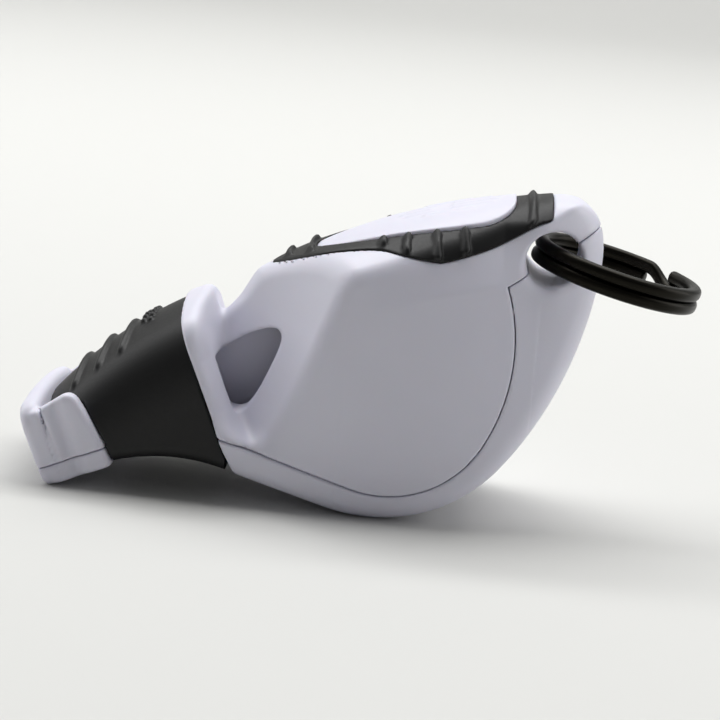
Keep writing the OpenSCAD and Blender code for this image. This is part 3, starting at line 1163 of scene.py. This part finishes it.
def linear(code: str) -> tuple[float, float, float, float]:
    """An sRGB colour made linear.

    Args:
        code: the colour, such as "#ff8800".

    Returns:
        Linear red, green and blue, and full alpha.
    """
    parts = [int(code[i : i + 2], 16) / 255 for i in (1, 3, 5)]
    return (*[p / 12.92 if p <= 0.04045 else ((p + 0.055) / 1.055) ** 2.4 for p in parts], 1.0)


def add(tree: bpy.types.NodeTree, kind: str, settings: dict | None = None,
        links: dict | None = None) -> bpy.types.Node:
    """Adds a node.

    Args:
        tree: the material's nodes.
        kind: the node's type.
        settings: values by the name of an input, or of a property of the node.
        links: (node, output) by the name of an input.

    Returns:
        The node.
    """
    node = tree.nodes.new(kind)
    for name, value in (settings or {}).items():
        if hasattr(node, name):
            setattr(node, name, value)
        else:
            node.inputs[name].default_value = value
    for name, (source, output) in (links or {}).items():
        tree.links.new(source.outputs[output], node.inputs[name])
    return node


@dataclass(frozen=True)
class Moulded:
    """A moulded polymer: an even colour that drifts a little, over the fine grain of the tool.

    Attributes:
        name: the material's name.
        tint: its colour.
        drift_tint: the colour that it drifts to.
        roughness: its mean roughness.
        rough_spread: how far the roughness strays from that.
        ior: its index of refraction.
        grain_mm: size of the tool's grain.
        grain_depth_mm: depth of the grain.
        drift_mm: size of the patches that the colour drifts in.
        shine: strength of its reflection, where 0.5 is what the index gives.
        glow: share of the light that passes under the surface.
        glow_mm: how far that light travels.
    """

    name: str
    tint: str
    drift_tint: str
    roughness: float
    rough_spread: float
    ior: float
    grain_mm: float
    grain_depth_mm: float
    drift_mm: float
    shine: float = 0.5
    glow: float = 0.0
    glow_mm: float = 0.6

    def material(self) -> bpy.types.Material:
        """Makes the finish.

        Returns:
            The material.
        """
        made = bpy.data.materials.new(self.name)
        made.use_nodes = True
        tree = made.node_tree
        tree.nodes.clear()
        place = add(tree, "ShaderNodeTexCoord")
        drift = add(tree, "ShaderNodeTexNoise", {"Scale": 1 / (self.drift_mm * MM), "Detail": 2.0},
                    {"Vector": (place, "Object")})
        colour = add(tree, "ShaderNodeMix", {"data_type": "RGBA"}, {"Factor": (drift, "Fac")})
        colour.inputs[MIX_FIRST].default_value = linear(self.tint)
        colour.inputs[MIX_SECOND].default_value = linear(self.drift_tint)
        grain = add(tree, "ShaderNodeTexNoise",
                    {"Scale": 1 / (self.grain_mm * MM), "Detail": 1.5, "Roughness": 0.6},
                    {"Vector": (place, "Object")})
        low, high = self.roughness - self.rough_spread, self.roughness + self.rough_spread
        dull = add(tree, "ShaderNodeMapRange", {"To Min": low, "To Max": high}, {"Value": (grain, "Fac")})
        bump = add(tree, "ShaderNodeBump", {"Strength": 1.0, "Distance": self.grain_depth_mm * MM},
                   {"Height": (grain, "Fac")})
        shader = add(tree, "ShaderNodeBsdfPrincipled",
                     {"IOR": self.ior, "Subsurface Weight": self.glow, "Subsurface Scale": self.glow_mm * MM,
                      "Specular IOR Level": self.shine},
                     {"Roughness": (dull, "Result"), "Normal": (bump, "Normal")})
        tree.links.new(colour.outputs[MIX_RESULT], shader.inputs["Base Color"])
        add(tree, "ShaderNodeOutputMaterial", None, {"Surface": (shader, "BSDF")})
        return made


@dataclass(frozen=True)
class BlackedSteel:
    """Drawn spring steel with a black oxide: dark metal whose gloss is streaked along the wire.

    Attributes:
        name: the material's name.
        tint: its colour.
        worn_tint: its colour where the oxide is thinner.
        roughness: roughness of the even oxide.
        rough_range: how far the streaks take the roughness down and up.
        streak_mm: width of a streak.
        streak_depth_mm: depth of a streak.
        streak_stretch: width of a streak as a share of its length.
    """

    name: str = "spring_steel_black_oxide"
    tint: str = "#151412"
    worn_tint: str = "#26241f"
    roughness: float = 0.34
    rough_range: tuple[float, float] = (0.08, 0.12)
    streak_mm: float = 0.12
    streak_depth_mm: float = 0.006
    streak_stretch: float = 0.04

    def material(self) -> bpy.types.Material:
        """Makes the finish.

        Returns:
            The material.
        """
        made = bpy.data.materials.new(self.name)
        made.use_nodes = True
        tree = made.node_tree
        tree.nodes.clear()
        along = add(tree, "ShaderNodeUVMap", {"uv_map": "wire"})
        drawn = add(tree, "ShaderNodeMapping", {"Scale": (self.streak_stretch, 1.0, 1.0)},
                    {"Vector": (along, "UV")})
        streak = add(tree, "ShaderNodeTexNoise", {"Scale": 1 / (self.streak_mm * MM), "Detail": 3.0},
                     {"Vector": (drawn, "Vector")})
        colour = add(tree, "ShaderNodeMix", {"data_type": "RGBA"}, {"Factor": (streak, "Fac")})
        colour.inputs[MIX_FIRST].default_value = linear(self.tint)
        colour.inputs[MIX_SECOND].default_value = linear(self.worn_tint)
        low, high = self.roughness - self.rough_range[0], self.roughness + self.rough_range[1]
        dull = add(tree, "ShaderNodeMapRange", {"To Min": low, "To Max": high}, {"Value": (streak, "Fac")})
        bump = add(tree, "ShaderNodeBump", {"Strength": 1.0, "Distance": self.streak_depth_mm * MM},
                   {"Height": (streak, "Fac")})
        shader = add(tree, "ShaderNodeBsdfPrincipled", {"Metallic": 1.0},
                     {"Roughness": (dull, "Result"), "Normal": (bump, "Normal")})
        tree.links.new(colour.outputs[MIX_RESULT], shader.inputs["Base Color"])
        add(tree, "ShaderNodeOutputMaterial", None, {"Surface": (shader, "BSDF")})
        return made


# Injection-moulded ABS, white with a cool tint: satin, a little translucent, with the tool's eroded grain.
WHITE_ABS = Moulded("abs_white_moulded", "#dddce9", "#d7d6e3", roughness=0.42, rough_spread=0.05, ior=1.54,
                    grain_mm=0.28, grain_depth_mm=0.004, drift_mm=9.0, shine=0.5, glow=0.06, glow_mm=0.5)
# Over-moulded thermoplastic elastomer, black: dull, with a softer sheen than the shells'.
BLACK_TPE = Moulded("tpe_black_overmoulded", "#080808", "#0b0b0c", roughness=0.5, rough_spread=0.08, ior=1.5,
                    grain_mm=0.22, grain_depth_mm=0.008, drift_mm=4.0, shine=0.35)


# ---- the studio ----


@dataclass
class Studio:
    """The pale sweep, the soft lights and the camera.

    Attributes:
        shift: how far the CAD model lies along x from the forms, in millimetres.
        lens: the camera's focal length, in millimetres.
        eye: where the camera stands, in the forms' millimetres.
        right: the way to the camera's right.
        up: the way up through the camera.
        floor_tint: colour of the sweep.
        wall_at: y at which the floor starts to curve up, in metres.
        sweep_r: radius of that curve, in metres.
        front_at: y of the floor's front edge, in metres.
        wide: half the sweep's width, and its height, in metres.
        sky_tint: colour of the light from all round.
        sky: its strength.
    """

    shift: float
    lens: float = 110.0
    eye: tuple[float, float, float] = (2.857, -207.333, 58.690)
    right: tuple[float, float, float] = (0.99402, 0.05812, 0.09248)
    up: tuple[float, float, float] = (-0.10273, 0.20984, 0.97232)
    floor_tint: str = "#cdcdca"
    wall_at: float = 0.75
    sweep_r: float = 0.5
    front_at: float = -0.8
    wide: float = 4.0
    sky_tint: str = "#f2f3f6"
    sky: float = 0.18

    def camera(self) -> None:
        """Sets the camera."""
        data = bpy.data.cameras.new("camera")
        data.lens = self.lens
        data.sensor_width = 36.0
        data.clip_start = 0.01
        camera = bpy.data.objects.new("camera", data)
        right, up = Vector(self.right), Vector(self.up)
        back = right.cross(up)
        turn = Matrix((right, up, back)).transposed().to_4x4()
        at = Vector((self.eye[0] + self.shift, self.eye[1], self.eye[2])) * MM
        camera.matrix_world = Matrix.Translation(at) @ turn
        bpy.context.scene.collection.objects.link(camera)
        bpy.context.scene.camera = camera

    def sweep(self) -> None:
        """A floor that curves up into a wall far behind the whistle."""
        side = [(self.front_at, 0.0), (self.wall_at, 0.0)]
        steps = 16
        for i in range(1, steps + 1):
            c, s = turned(90.0 * i / steps)
            side.append((self.wall_at + self.sweep_r * s, self.sweep_r * (1 - c)))
        side.append((self.wall_at + self.sweep_r, self.wide))
        points = [(x, y, z) for y, z in side for x in (-self.wide, self.wide)]
        faces = [(2 * i, 2 * i + 1, 2 * i + 3, 2 * i + 2) for i in range(len(side) - 1)]
        mesh = bpy.data.meshes.new("sweep")
        mesh.from_pydata(points, [], faces)
        mesh.polygons.foreach_set("use_smooth", np.ones(len(faces), bool))
        paper = bpy.data.materials.new("paper_sweep")
        paper.use_nodes = True
        shader = paper.node_tree.nodes["Principled BSDF"]
        shader.inputs["Base Color"].default_value = linear(self.floor_tint)
        shader.inputs["Roughness"].default_value = 0.75
        mesh.materials.append(paper)
        floor = bpy.data.objects.new("sweep", mesh)
        bpy.context.scene.collection.objects.link(floor)

    def light(self, name: str, at: tuple[float, float, float], aim: tuple[float, float, float],
              size: tuple[float, float], watts: float) -> None:
        """Adds a soft box.

        Args:
            name: its name.
            at: its middle, in metres.
            aim: where it points.
            size: its width and height, in metres.
            watts: its power.
        """
        data = bpy.data.lights.new(name, "AREA")
        data.shape = "RECTANGLE"
        data.size, data.size_y = size
        data.energy = watts
        lamp = bpy.data.objects.new(name, data)
        way = Vector(aim) - Vector(at)
        lamp.matrix_world = Matrix.Translation(at) @ way.to_track_quat("-Z", "Y").to_matrix().to_4x4()
        bpy.context.scene.collection.objects.link(lamp)

    def build(self) -> None:
        """Sets up the whole studio."""
        self.camera()
        self.sweep()
        world = bpy.data.worlds.new("studio")
        world.use_nodes = True
        sky = world.node_tree.nodes["Background"]
        sky.inputs["Color"].default_value = linear(self.sky_tint)
        sky.inputs["Strength"].default_value = self.sky
        bpy.context.scene.world = world
        bpy.context.scene.view_settings.view_transform = "Standard"
        foot, middle = (0.0, 0.0, 0.0), (0.0, 0.0, 0.015)
        self.light("overhead", at=(0.0, 0.22, 0.7), aim=foot, size=(1.0, 0.5), watts=6.0)
        self.light("left_bank", at=(-0.7, 0.22, 0.38), aim=middle, size=(0.5, 0.6), watts=2.0)
        self.light("right_bank", at=(0.7, 0.12, 0.3), aim=middle, size=(0.5, 0.6), watts=2.2)
        self.light("wall_wash", at=(0.0, 0.7, 1.2), aim=(0.0, 1.3, 0.25), size=(1.6, 0.4), watts=9.0)


def main() -> None:
    """Builds the whistle and the studio, and reports each piece."""
    logging.basicConfig(level=logging.INFO, format="%(message)s")
    grade = Grade.FULL
    hinge = frame["joints"][0]["pos_m"]
    low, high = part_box("upper_housing")
    hole = (12.2, hinge[2] / MM)
    forms = Forms(hinge[0] / MM - hole[0], hole, max(high.y, -low.y) / MM)
    white, black = WHITE_ABS.material(), BLACK_TPE.material()
    Shells(forms, grade).build(white)
    MouthGrip(forms, grade).build(black)
    FingerGrip(forms, grade).build(black)
    SplitRing(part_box("split_ring")).build(BlackedSteel().material())
    Studio(forms.shift).build()


if __name__ == "__main__":
    main()
